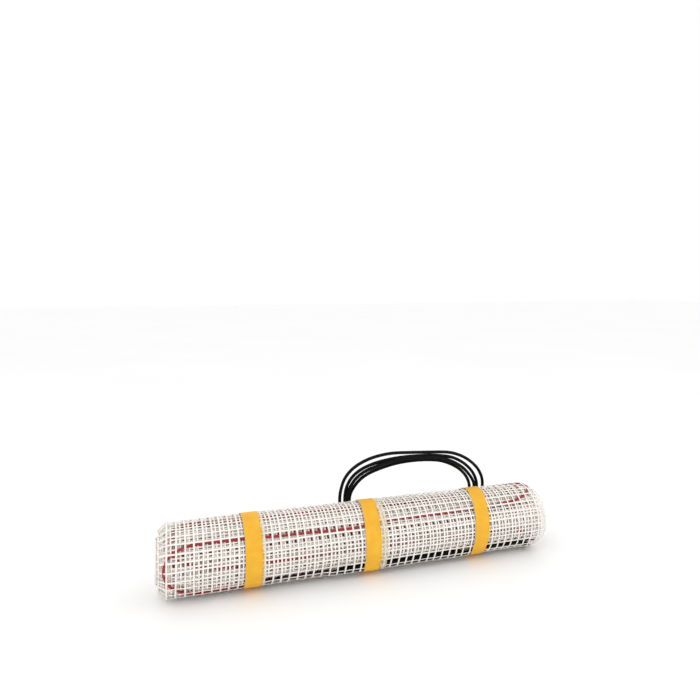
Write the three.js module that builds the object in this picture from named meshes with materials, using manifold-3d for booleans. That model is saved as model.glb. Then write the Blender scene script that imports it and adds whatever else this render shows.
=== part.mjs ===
// A rolled underfloor heating mat with its cold lead, in millimetres.
// X runs along the roll, Y away from its front, Z up, and the roll rests on Z = 0 on its tape bands.
// The origin is under the middle of the roll.
import * as THREE from "three";
import { mergeVertices } from "three/addons/utils/BufferGeometryUtils.js";
import Module from "manifold-3d";

const wasm = await Module();
wasm.setup();

// Driving dimensions
const MAT_WIDTH = 500;
const ROLL_RADIUS = 41.6;
const BORE_RADIUS = 10;
const LEFT_END_TAPER = { length: 9, depth: 9 }; // the mesh's free edge draws in past the cable
const RIGHT_END_TAPER = { length: 8, depth: 3 };
const TURN_PITCH = 2.6;
const TURN_COUNT = 12;
const TURN_GROOVE_DEPTH = 1.2;
const TURN_GROOVE_WIDTH = 1.2;

const CLEARANCE = 0.3;
const PROUD = 0.4; // how far a cable under the outer mesh stands above the roll's surface

const TAPE_WIDTH = 20;
const TAPE_THICKNESS = 0.5;
const TAPE_PLACES = { left: 107, middle: 254, right: 404 }; // band centres, from the roll's left end
const STRIP_THICKNESS = 0.3;
const LEFT_STRIP_WIDTH = 4;
const MIDDLE_STRIP_WIDTH = 9;

const CABLE_DIAMETER = 3;
const CABLE_EDGE = 9; // from the mat's edge to the middle of a turned-back cable
const RUN_ANGLE = 81; // degrees round the roll from one cable run to the next
const FIRST_RUN_ANGLE = -42; // degrees above the front, negative is below
const RUN_COUNT = 4;

const JOINT_NECK_DIAMETER = 4.4; // the thin part of the shrunk sleeve, over the heating cable
const JOINT_NECK_START = 122; // from the roll's left end
const JOINT_DIAMETER = 8;
const JOINT_START = 206; // from the roll's left end
const JOINT_LENGTH = 184;

const LEAD_DIAMETER = 4.4;
const LEAD_TURN_END = 490; // how far along the roll the lead turns back under the mesh
const LEAD_TURN_RADIUS = 28;
const LEAD_EXIT = 384; // where the lead leaves the mesh, from the roll's left end
const LEAD_EXIT_ANGLE = -138;
const LEAD_ROUTE = [
  [122, 30.8, 14.9],
  [110, 34, 11.8],
  [98, 38.6, 8.2],
  [86, 43.4, 5.2],
  [74, 47.2, 3.2],
  [62, 49.8, 2.6],
]; // from the mesh down to the floor and in to the coil

const COIL_WIDTH = 222;
const COIL_HEIGHT = 137;
const COIL_SQUARENESS = 2.3; // 2 is an ellipse, and more is squarer
const COIL_BUNDLE = 18; // across the loose strands above, in the coil's plane
const COIL_FLOOR_BUNDLE = 10; // across the tied strands at the floor
const COIL_DEPTH = 10; // across the strands, through the coil's plane
const COIL_LEAN = 12; // degrees from upright, towards the roll
const COIL_CENTRE_X = 95;
const COIL_ROUNDING = 2;
const TIE_WIDTH = 5;
const TIE_THICKNESS = 1.2;
const TIE_X = 20; // from the coil's middle along its lower side

// Values that follow from them
const TAPE_INNER = ROLL_RADIUS + PROUD + CLEARANCE;
const TAPE_OUTER = TAPE_INNER + TAPE_THICKNESS;
const AXIS_HEIGHT = TAPE_OUTER;
const GROOVE = 2 * CLEARANCE; // how much wider than a cable its bed in the roll is

// How finely the curves are cut
const ROUND_STEPS = 64;
const BEND_STEPS = 12;
const EASE_STEPS = 6;
const FREE_LEAD_STEPS = 14;
const THIN_SIDES = 8;
const THICK_SIDES = 10;

const FINISHES = {
  mesh: { color: 0xefeae2, roughness: 0.8 },
  cable: { color: 0xc2222b, roughness: 0.45 },
  joint: { color: 0x241a1a, roughness: 0.5 },
  lead: { color: 0x17171a, roughness: 0.45 },
  tape: { color: 0xf7b62f, roughness: 0.7 },
  strip: { color: 0xf3e6d6, roughness: 0.5 },
  tie: { color: 0x202022, roughness: 0.5 },
};

// A curve whose steps fall on its own list of stations, so that straight runs take one step.
class StationCurve extends THREE.Curve {
  constructor(stations) {
    super();
    this.stations = stations;
  }

  getPoint(t) {
    const place = t * (this.stations.length - 1);
    const index = Math.min(Math.floor(place), this.stations.length - 2);
    return this.stations[index].clone().lerp(this.stations[index + 1], place - index);
  }

  getPointAt(u) {
    return this.getPoint(u);
  }

  getTangentAt(u) {
    const index = Math.round(u * (this.stations.length - 1));
    const before = this.stations[Math.max(index - 1, 0)];
    const after = this.stations[Math.min(index + 1, this.stations.length - 1)];
    const here = this.stations[index];
    const tangent = new THREE.Vector3();
    if (index > 0) tangent.add(here.clone().sub(before).normalize());
    if (index < this.stations.length - 1) tangent.add(after.clone().sub(here).normalize());
    return tangent.normalize();
  }
}

function tube(stations, diameter, sides) {
  const section = new THREE.Shape();
  const radius = diameter / 2;
  for (let side = 0; side < sides; side += 1) {
    const angle = (2 * Math.PI * side) / sides;
    const x = radius * Math.cos(angle);
    const y = radius * Math.sin(angle);
    if (side === 0) section.moveTo(x, y);
    else section.lineTo(x, y);
  }
  section.closePath();
  const curve = new StationCurve(stations);
  return new THREE.ExtrudeGeometry(section, { steps: stations.length - 1, extrudePath: curve });
}

function toSolid(geometry) {
  const bare = geometry.clone();
  bare.deleteAttribute("normal");
  bare.deleteAttribute("uv");
  const merged = mergeVertices(bare, 1e-4);
  return new wasm.Manifold(
    new wasm.Mesh({
      numProp: 3,
      vertProperties: new Float32Array(merged.attributes.position.array),
      triVerts: new Uint32Array(merged.index.array),
    }),
  );
}

function toGeometry(solid) {
  const mesh = solid.getMesh();
  const geometry = new THREE.BufferGeometry();
  geometry.setAttribute("position", new THREE.BufferAttribute(new Float32Array(mesh.vertProperties), 3));
  geometry.setIndex(new THREE.BufferAttribute(new Uint32Array(mesh.triVerts), 1));
  geometry.computeVertexNormals();
  return geometry;
}

// A place on the roll: s from its left end, an angle above the front, and a depth below its surface.
function onRoll(s, degrees, depth) {
  const angle = THREE.MathUtils.degToRad(degrees);
  const radius = ROLL_RADIUS - depth;
  return new THREE.Vector3(
    s - MAT_WIDTH / 2,
    -radius * Math.cos(angle),
    AXIS_HEIGHT + radius * Math.sin(angle),
  );
}

function depthOf(diameter) {
  return diameter / 2 - PROUD;
}

// A turned ring about the roll's axis, from a profile of (radius, s) points that closes on itself.
function turned(profile) {
  const points = profile.map(([radius, s]) => new THREE.Vector2(radius, s));
  const geometry = new THREE.LatheGeometry([...points, points[0].clone()], ROUND_STEPS);
  geometry.rotateZ(-Math.PI / 2);
  geometry.translate(-MAT_WIDTH / 2, 0, AXIS_HEIGHT);
  return geometry;
}

function ring(inner, outer, centre, width) {
  const start = centre - width / 2;
  const end = centre + width / 2;
  return turned([
    [inner, start],
    [outer, start],
    [outer, end],
    [inner, end],
  ]);
}

// The heating cable's outer turn: runs along the roll, joined by half circles near the mat's edges.
function cableStations() {
  const stations = [];
  const depth = depthOf(CABLE_DIAMETER);
  const arcRadius = THREE.MathUtils.degToRad(RUN_ANGLE / 2) * (ROLL_RADIUS - depth);
  const near = CABLE_EDGE + arcRadius;
  const far = MAT_WIDTH - CABLE_EDGE - arcRadius;
  stations.push(onRoll(JOINT_NECK_START - CLEARANCE, FIRST_RUN_ANGLE, depth));
  for (let run = 0; run < RUN_COUNT - 1; run += 1) {
    const atLeft = run % 2 === 0;
    const middle = FIRST_RUN_ANGLE + (run + 0.5) * RUN_ANGLE;
    for (let step = 0; step <= BEND_STEPS; step += 1) {
      const turn = (Math.PI * step) / BEND_STEPS;
      const degrees = middle - (RUN_ANGLE / 2) * Math.cos(turn);
      const reach = arcRadius * Math.sin(turn);
      stations.push(onRoll(atLeft ? near - reach : far + reach, degrees, depth));
    }
  }
  const lastAngle = FIRST_RUN_ANGLE + (RUN_COUNT - 1) * RUN_ANGLE;
  const lastEnd = RUN_COUNT % 2 === 0 ? far : near;
  stations.push(onRoll(lastEnd, lastAngle, depth));
  return stations;
}

// The lead under the outer mesh: along the front, back round the underside, and out behind the roll.
function leadInMeshStations() {
  const stations = [];
  const depth = depthOf(LEAD_DIAMETER);
  const turnStart = LEAD_TURN_END - LEAD_TURN_RADIUS;
  const swing = THREE.MathUtils.radToDeg(LEAD_TURN_RADIUS / (ROLL_RADIUS - depth));
  stations.push(onRoll(JOINT_START + JOINT_LENGTH + CLEARANCE, FIRST_RUN_ANGLE, depth));
  for (let step = 0; step <= BEND_STEPS; step += 1) {
    const turn = (Math.PI * step) / BEND_STEPS;
    const degrees = FIRST_RUN_ANGLE - swing + swing * Math.cos(turn);
    stations.push(onRoll(turnStart + LEAD_TURN_RADIUS * Math.sin(turn), degrees, depth));
  }
  const turnedAngle = FIRST_RUN_ANGLE - 2 * swing;
  for (let step = 1; step <= EASE_STEPS; step += 1) {
    const share = step / EASE_STEPS;
    const ease = (1 - Math.cos(Math.PI * share)) / 2;
    const s = THREE.MathUtils.lerp(turnStart, LEAD_EXIT, share);
    stations.push(onRoll(s, THREE.MathUtils.lerp(turnedAngle, LEAD_EXIT_ANGLE, ease), depth));
  }
  return stations;
}

// How far a squared ellipse that stands on zero has risen at a distance from its middle.
function riseAt(width, height, distance) {
  const flat = 1 - Math.pow((2 * distance) / width, COIL_SQUARENESS);
  return (height / 2) * (1 - Math.pow(flat, 1 / COIL_SQUARENESS));
}

const HOLE_WIDTH = COIL_WIDTH - 2 * COIL_BUNDLE;
const HOLE_HEIGHT = COIL_HEIGHT - COIL_BUNDLE - COIL_FLOOR_BUNDLE;
const TIE_BUILD = CLEARANCE + TIE_THICKNESS;
const TIE_Y =
  (riseAt(COIL_WIDTH, COIL_HEIGHT, TIE_X) + COIL_FLOOR_BUNDLE + riseAt(HOLE_WIDTH, HOLE_HEIGHT, TIE_X)) / 2;
const TIE_LOWEST = TIE_Y - COIL_FLOOR_BUNDLE / 2 - TIE_BUILD;
const lean = THREE.MathUtils.degToRad(COIL_LEAN);
const COIL_LIFT = (COIL_DEPTH / 2 + TIE_BUILD) * Math.sin(lean) - TIE_LOWEST * Math.cos(lean);
const COIL_REACH = TAPE_OUTER + CLEARANCE + COIL_DEPTH / 2;
const COIL_BASE_Y = (COIL_REACH + (AXIS_HEIGHT - COIL_LIFT) * Math.sin(lean)) / Math.cos(lean);

// The free stretch of the lead, from the mesh down to the floor and in to the coil's lower side.
function freeLeadStations() {
  const start = onRoll(LEAD_EXIT, LEAD_EXIT_ANGLE, depthOf(LEAD_DIAMETER));
  start.x -= GROOVE;
  const points = [start, ...LEAD_ROUTE.map((place) => new THREE.Vector3(...place))];
  const curve = new THREE.CatmullRomCurve3(points, false, "centripetal");
  return curve.getSpacedPoints(FREE_LEAD_STEPS);
}

// A squared ellipse about the middle of a coil or its hole, taken in by a margin.
function squaredEllipse(width, height, middle, margin) {
  const points = [];
  for (let step = 0; step < ROUND_STEPS; step += 1) {
    const angle = (2 * Math.PI * step) / ROUND_STEPS;
    const reach = (value) => Math.sign(value) * Math.pow(Math.abs(value), 2 / COIL_SQUARENESS);
    const x = (width / 2 - margin) * reach(Math.cos(angle));
    const y = middle + (height / 2 - margin) * reach(Math.sin(angle));
    points.push(new THREE.Vector2(x, y));
  }
  return points;
}

function coilGeometry() {
  const holeMiddle = COIL_FLOOR_BUNDLE + HOLE_HEIGHT / 2;
  const outer = squaredEllipse(COIL_WIDTH, COIL_HEIGHT, COIL_HEIGHT / 2, COIL_ROUNDING);
  const inner = squaredEllipse(HOLE_WIDTH, HOLE_HEIGHT, holeMiddle, -COIL_ROUNDING);
  const shape = new THREE.Shape(outer);
  shape.holes.push(new THREE.Path(inner));
  const depth = COIL_DEPTH - 2 * COIL_ROUNDING;
  const geometry = new THREE.ExtrudeGeometry(shape, {
    depth,
    bevelEnabled: true,
    bevelThickness: COIL_ROUNDING,
    bevelSize: COIL_ROUNDING,
    bevelSegments: 1,
  });
  geometry.translate(0, 0, -depth / 2);
  return geometry;
}

// The tie round the strands of the coil's lower side, as a square ring.
function tieGeometry() {
  const inner = { x: COIL_FLOOR_BUNDLE / 2 + CLEARANCE, y: COIL_DEPTH / 2 + CLEARANCE };
  const outer = { x: inner.x + TIE_THICKNESS, y: inner.y + TIE_THICKNESS };
  const shape = new THREE.Shape([
    new THREE.Vector2(-outer.x, -outer.y),
    new THREE.Vector2(outer.x, -outer.y),
    new THREE.Vector2(outer.x, outer.y),
    new THREE.Vector2(-outer.x, outer.y),
  ]);
  shape.holes.push(
    new THREE.Path([
      new THREE.Vector2(-inner.x, -inner.y),
      new THREE.Vector2(-inner.x, inner.y),
      new THREE.Vector2(inner.x, inner.y),
      new THREE.Vector2(inner.x, -inner.y),
    ]),
  );
  const geometry = new THREE.ExtrudeGeometry(shape, { depth: TIE_WIDTH, bevelEnabled: false });
  geometry.rotateZ(Math.PI / 2);
  geometry.rotateY(Math.PI / 2);
  return geometry;
}

const part = new THREE.Group();

function add(name, geometry, finish, parent = part) {
  const mesh = new THREE.Mesh(geometry, new THREE.MeshStandardMaterial(finish));
  mesh.name = name;
  parent.add(mesh);
  return mesh;
}

// The rolled mesh: one turned body with its bore, and a groove on each end between two turns
function rollProfile() {
  const half = TURN_GROOVE_WIDTH / 2;
  const grooves = [];
  for (let turn = 1; turn < TURN_COUNT; turn += 1) {
    grooves.push(ROLL_RADIUS - turn * TURN_PITCH);
  }
  const endOf = (taper, face, inward) => {
    const rim = ROLL_RADIUS - taper.depth;
    const points = [
      [ROLL_RADIUS, face + inward * taper.length],
      [rim, face],
    ];
    for (const radius of grooves) {
      if (radius + half < rim && radius - half > BORE_RADIUS) {
        points.push([radius + half, face]);
        points.push([radius, face + inward * TURN_GROOVE_DEPTH]);
        points.push([radius - half, face]);
      }
    }
    points.push([BORE_RADIUS, face]);
    return points;
  };
  return [...endOf(LEFT_END_TAPER, 0, 1).reverse(), ...endOf(RIGHT_END_TAPER, MAT_WIDTH, -1)];
}

// A stretch of the joint's sleeve, grown at both ends by a margin.
function sleeve(start, end, diameter, margin) {
  const depth = depthOf(diameter);
  const stations = [
    onRoll(start - margin, FIRST_RUN_ANGLE, depth),
    onRoll(end + margin, FIRST_RUN_ANGLE, depth),
  ];
  return toSolid(tube(stations, diameter + 2 * margin, THICK_SIDES));
}

function jointSolid(margin) {
  const neck = sleeve(JOINT_NECK_START, JOINT_START + JOINT_NECK_DIAMETER, JOINT_NECK_DIAMETER, margin);
  return neck.add(sleeve(JOINT_START, JOINT_START + JOINT_LENGTH, JOINT_DIAMETER, margin));
}

const cable = cableStations();
const leadInMesh = leadInMeshStations();
const freeLead = freeLeadStations();

const rollSolid = toSolid(turned(rollProfile()))
  .subtract(toSolid(tube(cable, CABLE_DIAMETER + GROOVE, THIN_SIDES)))
  .subtract(toSolid(tube(leadInMesh, LEAD_DIAMETER + GROOVE, THICK_SIDES)))
  .subtract(toSolid(tube(freeLead, LEAD_DIAMETER + GROOVE, THICK_SIDES)))
  .subtract(jointSolid(CLEARANCE));
add("mat_roll", toGeometry(rollSolid), FINISHES.mesh);

add("heating_cable", tube(cable, CABLE_DIAMETER, THIN_SIDES), FINISHES.cable);
add("lead_under_mesh", tube(leadInMesh, LEAD_DIAMETER, THICK_SIDES), FINISHES.lead);
add("cable_joint", toGeometry(jointSolid(0)), FINISHES.joint);

for (const [side, centre] of Object.entries(TAPE_PLACES)) {
  add(`tape_band_${side}`, ring(TAPE_INNER, TAPE_OUTER, centre, TAPE_WIDTH), FINISHES.tape);
}

function strip(name, centre, width) {
  const place = centre + TAPE_WIDTH / 2 + CLEARANCE + width / 2;
  add(name, ring(TAPE_INNER, TAPE_INNER + STRIP_THICKNESS, place, width), FINISHES.strip);
}

strip("clear_strip_left", TAPE_PLACES.left, LEFT_STRIP_WIDTH);
strip("clear_strip_middle", TAPE_PLACES.middle, MIDDLE_STRIP_WIDTH);

add("cold_lead", tube(freeLead, LEAD_DIAMETER, THIN_SIDES), FINISHES.lead);

// The coil stands behind the roll and leans on it
const coilStand = new THREE.Group();
coilStand.position.set(COIL_CENTRE_X, COIL_BASE_Y, COIL_LIFT);
coilStand.rotation.x = Math.PI / 2 + lean;
part.add(coilStand);
add("cold_lead_coil", coilGeometry(), FINISHES.lead, coilStand);
const tie = add("coil_tie", tieGeometry(), FINISHES.tie, coilStand);
tie.position.set(TIE_X - TIE_WIDTH / 2, TIE_Y, 0);

export default part;
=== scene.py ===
# %% [markdown]
# A rolled underfloor heating mat. The real thing is an open mesh of coated glass-fibre yarn with one long
# red heating cable laid to and fro on it. It is wound up with the cable inside, closed with three bands of
# yellow tape, and its black cold lead is coiled up behind it. Every surface here is built as thin yarns and
# round cables, because an open mesh shows what lies two and three turns below it.

# %% Load the frame
import math
import bpy
import numpy as np
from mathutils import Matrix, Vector


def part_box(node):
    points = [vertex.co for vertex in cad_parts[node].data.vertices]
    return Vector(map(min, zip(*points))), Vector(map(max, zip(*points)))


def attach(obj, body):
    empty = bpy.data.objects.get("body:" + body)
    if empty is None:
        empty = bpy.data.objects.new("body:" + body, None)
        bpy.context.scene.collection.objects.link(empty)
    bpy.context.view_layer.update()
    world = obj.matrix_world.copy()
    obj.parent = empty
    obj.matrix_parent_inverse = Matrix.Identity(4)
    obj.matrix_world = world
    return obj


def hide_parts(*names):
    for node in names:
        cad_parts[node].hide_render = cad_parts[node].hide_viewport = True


MM = 0.001
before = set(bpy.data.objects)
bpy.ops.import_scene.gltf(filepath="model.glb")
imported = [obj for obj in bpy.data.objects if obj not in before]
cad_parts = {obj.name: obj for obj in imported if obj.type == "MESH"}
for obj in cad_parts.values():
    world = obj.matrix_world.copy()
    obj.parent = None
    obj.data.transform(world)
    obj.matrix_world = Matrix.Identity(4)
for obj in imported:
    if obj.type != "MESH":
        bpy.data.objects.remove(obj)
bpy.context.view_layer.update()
roll_low, roll_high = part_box("mat_roll")
MAT_WIDTH = (roll_high.x - roll_low.x) / MM
ROLL_RADIUS = (roll_high.z - roll_low.z) / 2 / MM
AXIS_HEIGHT = (roll_high.z + roll_low.z) / 2 / MM
print(f"roll {MAT_WIDTH:.0f} mm long, radius {ROLL_RADIUS:.1f}, axis {AXIS_HEIGHT:.1f} mm up")

# %% [markdown]
# The camera comes first, so that each later piece can be judged from it. It stands a little to the left of
# the roll's near end and looks level, like a studio camera with its lens shifted down to keep uprights
# upright. The shift, the lens and the turn are worked out from the photograph's 700 pixel frame.

# %% Camera
FRAME_PX = 700
FOCAL_PX = 617
HORIZON_PX = 279
SENSOR_MM = 36
CAMERA_PLACE = (-0.2531, -0.7562, 0.3730)
CAMERA_TURN = math.radians(17.588)

camera_data = bpy.data.cameras.new("camera")
camera = bpy.data.objects.new("camera", camera_data)
bpy.context.scene.collection.objects.link(camera)
bpy.context.scene.camera = camera
camera.location = CAMERA_PLACE
camera.rotation_euler = (math.pi / 2, 0, -CAMERA_TURN)
camera_data.sensor_width = SENSOR_MM
camera_data.lens = SENSOR_MM * FOCAL_PX / FRAME_PX
camera_data.shift_y = (HORIZON_PX - FRAME_PX / 2) / FRAME_PX
print(f"lens {camera_data.lens:.1f} mm, shift {camera_data.shift_y:.3f}")

# %% [markdown]
# Two helpers serve every material. Colours are picked as sRGB hex values, as in any paint program, and
# Blender's shaders want linear light, so one function turns them. The other adds a node of any kind, sets
# its sockets and links it, which keeps each material short enough to read as a recipe. The last two here
# start a material with its surface shader and link what varies over the surface to it.

# %% Material helpers
def linear(hex_colour, alpha=1.0):
    channels = [int(hex_colour[i:i + 2], 16) / 255 for i in (1, 3, 5)]
    return tuple(c / 12.92 if c <= 0.04045 else ((c + 0.055) / 1.055) ** 2.4 for c in channels) + (alpha,)


def node(tree, kind, settings=None, stops=(), **inputs):
    """Adds a node and links it.

    Settings are its own properties, stops are a ramp's (position, hex) pairs, and inputs are values or
    other nodes' outputs, by the socket's name or, as i0 and i1, by its number.
    """
    made = tree.nodes.new(kind)
    for key, value in (settings or {}).items():
        setattr(made, key, value)
    for index, (position, colour) in enumerate(stops):
        elements = made.color_ramp.elements
        element = elements[index] if index < len(elements) else elements.new(position)
        element.position = position
        element.color = linear(colour)
    for key, value in inputs.items():
        socket = made.inputs[int(key[1:]) if key in ("i0", "i1") else key.replace("_", " ")]
        if isinstance(value, bpy.types.NodeSocket):
            tree.links.new(value, socket)
        else:
            socket.default_value = value
    return made


def new_material(name, **surface):
    """A material with a Principled surface whose plain numbers sit on its own sockets."""
    material = bpy.data.materials.new(name)
    material.use_nodes = True
    tree = material.node_tree
    shader = tree.nodes["Principled BSDF"]
    for key, value in surface.items():
        shader.inputs[key.replace("_", " ")].default_value = value
    return material, tree, shader


def feed(tree, shader, **sources):
    """Links outputs to the surface's sockets of the same names."""
    for key, source in sources.items():
        tree.links.new(source, shader.inputs[key.replace("_", " ")])


# %% [markdown]
# Glass-fibre yarn for these meshes is dipped in a white acrylic coating after weaving. The filaments still
# show as fine lines along each yarn, and the coating dries satin, a little thicker in some places. The
# yarns carry a UV map whose U runs across them, so lines of constant U follow the filaments anywhere. A
# real filament is about a hundredth of a millimetre thick, too fine to show, so nine soft lines are drawn
# across a yarn instead.

# %% Coated glass-fibre yarn
FILAMENT_LINES = 9.0
FILAMENT_DRIFT = 0.35
CLOT_MM = 7


def make_coated_glass():
    material, tree, shader = new_material(
        "coated_glass_fibre", IOR=1.5, Coat_Weight=0.12, Coat_Roughness=0.35
    )
    coordinates = node(tree, "ShaderNodeTexCoord")
    filaments = node(
        tree, "ShaderNodeMapping", Vector=coordinates.outputs["UV"],
        Scale=(FILAMENT_LINES, FILAMENT_DRIFT, 1.0),
    )
    lines = node(tree, "ShaderNodeTexNoise", Vector=filaments.outputs["Vector"], Scale=1.0, Detail=3.0)
    clots = node(
        tree, "ShaderNodeTexNoise", Vector=coordinates.outputs["Object"],
        Scale=1 / (CLOT_MM * MM), Detail=3.0,
    )
    tint = node(
        tree, "ShaderNodeValToRGB", Fac=clots.outputs["Fac"],
        stops=[(0.3, "#F0EAE2"), (0.55, "#F7F2EB"), (0.8, "#FBF8F3")],
    )
    rough = node(tree, "ShaderNodeMapRange", Value=clots.outputs["Fac"], To_Min=0.62, To_Max=0.45)
    height = node(
        tree, "ShaderNodeMath", {"operation": "ADD"}, i0=lines.outputs["Fac"], i1=clots.outputs["Fac"]
    )
    bump = node(tree, "ShaderNodeBump", Height=height.outputs["Value"], Strength=0.5, Distance=0.25 * MM)
    feed(
        tree, shader, Base_Color=tint.outputs["Color"], Roughness=rough.outputs["Result"],
        Normal=bump.outputs["Normal"],
    )
    return material


coated_glass = make_coated_glass()
print("made", coated_glass.name)

# %% [markdown]
# Cable sheaths are extruded thermoplastic: PVC on the black lead, a glossier fluoropolymer on the red
# heating cable. An extruder leaves a smooth skin with faint draw lines and slow changes in gloss. The
# nylon of the tie and the shrunk polyolefin sleeve are close relatives, so one recipe serves them all.

# %% Extruded and shrunk plastics
SLOW_CHANGE_MM = 40


def make_plastic(name, dark, light, roughness, ior, grain_mm, bump_mm, mirror=0.5):
    """The roughness varies a little round its middle value. The grain's size and height are in mm."""
    material, tree, shader = new_material(name, IOR=ior, Specular_IOR_Level=mirror)
    where = node(tree, "ShaderNodeTexCoord").outputs["Object"]
    grain = node(tree, "ShaderNodeTexNoise", Vector=where, Scale=1 / (grain_mm * MM), Detail=4.0)
    slow = node(tree, "ShaderNodeTexNoise", Vector=where, Scale=1 / (SLOW_CHANGE_MM * MM), Detail=2.0)
    tint = node(
        tree, "ShaderNodeValToRGB", Fac=slow.outputs["Fac"], stops=[(0.3, dark), (0.7, light)]
    )
    rough = node(
        tree, "ShaderNodeMapRange", Value=grain.outputs["Fac"],
        To_Min=roughness - 0.06, To_Max=roughness + 0.08,
    )
    bump = node(
        tree, "ShaderNodeBump", Height=grain.outputs["Fac"], Strength=0.4, Distance=bump_mm * MM
    )
    feed(
        tree, shader, Base_Color=tint.outputs["Color"], Roughness=rough.outputs["Result"],
        Normal=bump.outputs["Normal"],
    )
    return material


red_sheath = make_plastic("red_fluoropolymer", "#96161D", "#AC2128", 0.34, 1.45, 1.2, 0.05)
black_sheath = make_plastic("black_pvc", "#040405", "#08080A", 0.52, 1.4, 0.9, 0.08, mirror=0.18)
shrink_sleeve = make_plastic("shrunk_polyolefin", "#040404", "#0A0909", 0.5, 1.5, 1.5, 0.15, mirror=0.15)
# The neck's dark red-brown is partly the red cable showing through the shrunk tube and partly painted
# shade.
neck_tint_and_painted_shade = make_plastic(
    "shrunk_polyolefin_tint_and_painted_shade", "#2A090B", "#431012", 0.45, 1.5, 1.2, 0.1, mirror=0.25
)
black_nylon = make_plastic("black_nylon", "#0A0A0B", "#141416", 0.42, 1.45, 0.6, 0.05, mirror=0.3)
brown_core = make_plastic("brown_pvc", "#4A2A16", "#5C3820", 0.42, 1.53, 0.8, 0.05)
blue_core = make_plastic("blue_pvc", "#1B5FA8", "#2A74C0", 0.42, 1.53, 0.8, 0.05)
print("made", red_sheath.name, black_sheath.name, shrink_sleeve.name, black_nylon.name)

# %% [markdown]
# The copper of the stripped ends is a metal: its colour is all in the reflection. Drawn strands scatter
# light along their length, so the roughness sits between polished and cast.

# %% Copper strands
STRAND_MM = 0.8


def make_copper():
    material, tree, shader = new_material("drawn_copper", Metallic=1.0)
    where = node(tree, "ShaderNodeTexCoord").outputs["Object"]
    strands = node(tree, "ShaderNodeTexNoise", Vector=where, Scale=1 / (STRAND_MM * MM), Detail=3.0)
    tint = node(
        tree, "ShaderNodeValToRGB", Fac=strands.outputs["Fac"], stops=[(0.3, "#B8693F"), (0.7, "#DA8A5A")]
    )
    rough = node(tree, "ShaderNodeMapRange", Value=strands.outputs["Fac"], To_Min=0.25, To_Max=0.42)
    feed(tree, shader, Base_Color=tint.outputs["Color"], Roughness=rough.outputs["Result"])
    return material


copper = make_copper()
print("made", copper.name)

# %% [markdown]
# The bands are flat-back paper tape, saturated and coated matt yellow. Stretched over the mesh it takes a
# faint print of the squares below, which the mesh carries as real relief, and the paper itself has a fine
# grain. The strips beside two of the bands are clear film whose adhesive has yellowed a little.

# %% Tape paper and clear film
FIBRE_MM = 0.7
SOFT_MM = 14
PATCH_MM = 5


def make_tape_paper():
    material, tree, shader = new_material("yellow_tape_paper", IOR=1.48)
    where = node(tree, "ShaderNodeTexCoord").outputs["Object"]
    fibre = node(tree, "ShaderNodeTexNoise", Vector=where, Scale=1 / (FIBRE_MM * MM), Detail=5.0)
    soft = node(tree, "ShaderNodeTexNoise", Vector=where, Scale=1 / (SOFT_MM * MM), Detail=2.0)
    tint = node(
        tree, "ShaderNodeValToRGB", Fac=soft.outputs["Fac"],
        stops=[(0.25, "#E7A91D"), (0.5, "#ECB022"), (0.75, "#F2B72D")],
    )
    rough = node(tree, "ShaderNodeMapRange", Value=fibre.outputs["Fac"], To_Min=0.5, To_Max=0.7)
    bump = node(tree, "ShaderNodeBump", Height=fibre.outputs["Fac"], Strength=0.35, Distance=0.12 * MM)
    feed(
        tree, shader, Base_Color=tint.outputs["Color"], Roughness=rough.outputs["Result"],
        Normal=bump.outputs["Normal"],
    )
    return material


def make_clear_film():
    """The film covers between a fifth and a little under half of what lies below it."""
    material, tree, shader = new_material("clear_adhesive_film", IOR=1.47)
    where = node(tree, "ShaderNodeTexCoord").outputs["Object"]
    patches = node(tree, "ShaderNodeTexNoise", Vector=where, Scale=1 / (PATCH_MM * MM), Detail=4.0)
    tint = node(
        tree, "ShaderNodeValToRGB", Fac=patches.outputs["Fac"], stops=[(0.35, "#F4E2B8"), (0.65, "#FBF3E6")]
    )
    cover = node(
        tree, "ShaderNodeMapRange", Value=patches.outputs["Fac"],
        From_Min=0.35, From_Max=0.65, To_Min=0.2, To_Max=0.45,
    )
    rough = node(tree, "ShaderNodeMapRange", Value=patches.outputs["Fac"], To_Min=0.2, To_Max=0.4)
    feed(
        tree, shader, Base_Color=tint.outputs["Color"], Alpha=cover.outputs["Result"],
        Roughness=rough.outputs["Result"],
    )
    return material


tape_paper = make_tape_paper()
clear_film = make_clear_film()
print("made", tape_paper.name, clear_film.name)

# %% [markdown]
# Almost everything here is a long thin thing with a constant section: yarns, cables, film. One sweep
# function makes them all as real meshes: it carries a section along many paths at once, closes both ends,
# and writes a UV map with U across the section and V along the path in millimetres. A Blender curve would
# also do for one cable, but not for hundreds of flat yarns that have to face outwards.

# %% Sweep a section along paths
def unit(vectors):
    return vectors / np.maximum(np.linalg.norm(vectors, axis=-1, keepdims=True), 1e-12)


def round_section(diameter, sides):
    turn = 2 * np.pi * np.arange(sides) / sides
    return np.stack([np.cos(turn), np.sin(turn)], -1) * diameter / 2


def flat_section(width, thickness):
    """A flat yarn: six corners, thick in the middle and thin at the rims."""
    corners = [(-0.5, 0), (-0.28, -0.5), (0.28, -0.5), (0.5, 0), (0.28, 0.5), (-0.28, 0.5)]
    return np.array(corners) * (width, thickness)


def add_mesh(name, vertices, faces, uvs, material):
    mesh = bpy.data.meshes.new(name)
    mesh.from_pydata(vertices, [], faces)
    layer = mesh.uv_layers.new(name="UVMap")
    layer.data.foreach_set("uv", np.asarray(uvs, np.float32).ravel())
    mesh.materials.append(material)
    mesh.shade_smooth()
    piece = bpy.data.objects.new(name, mesh)
    bpy.context.scene.collection.objects.link(piece)
    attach(piece, "root")
    return piece


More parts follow.
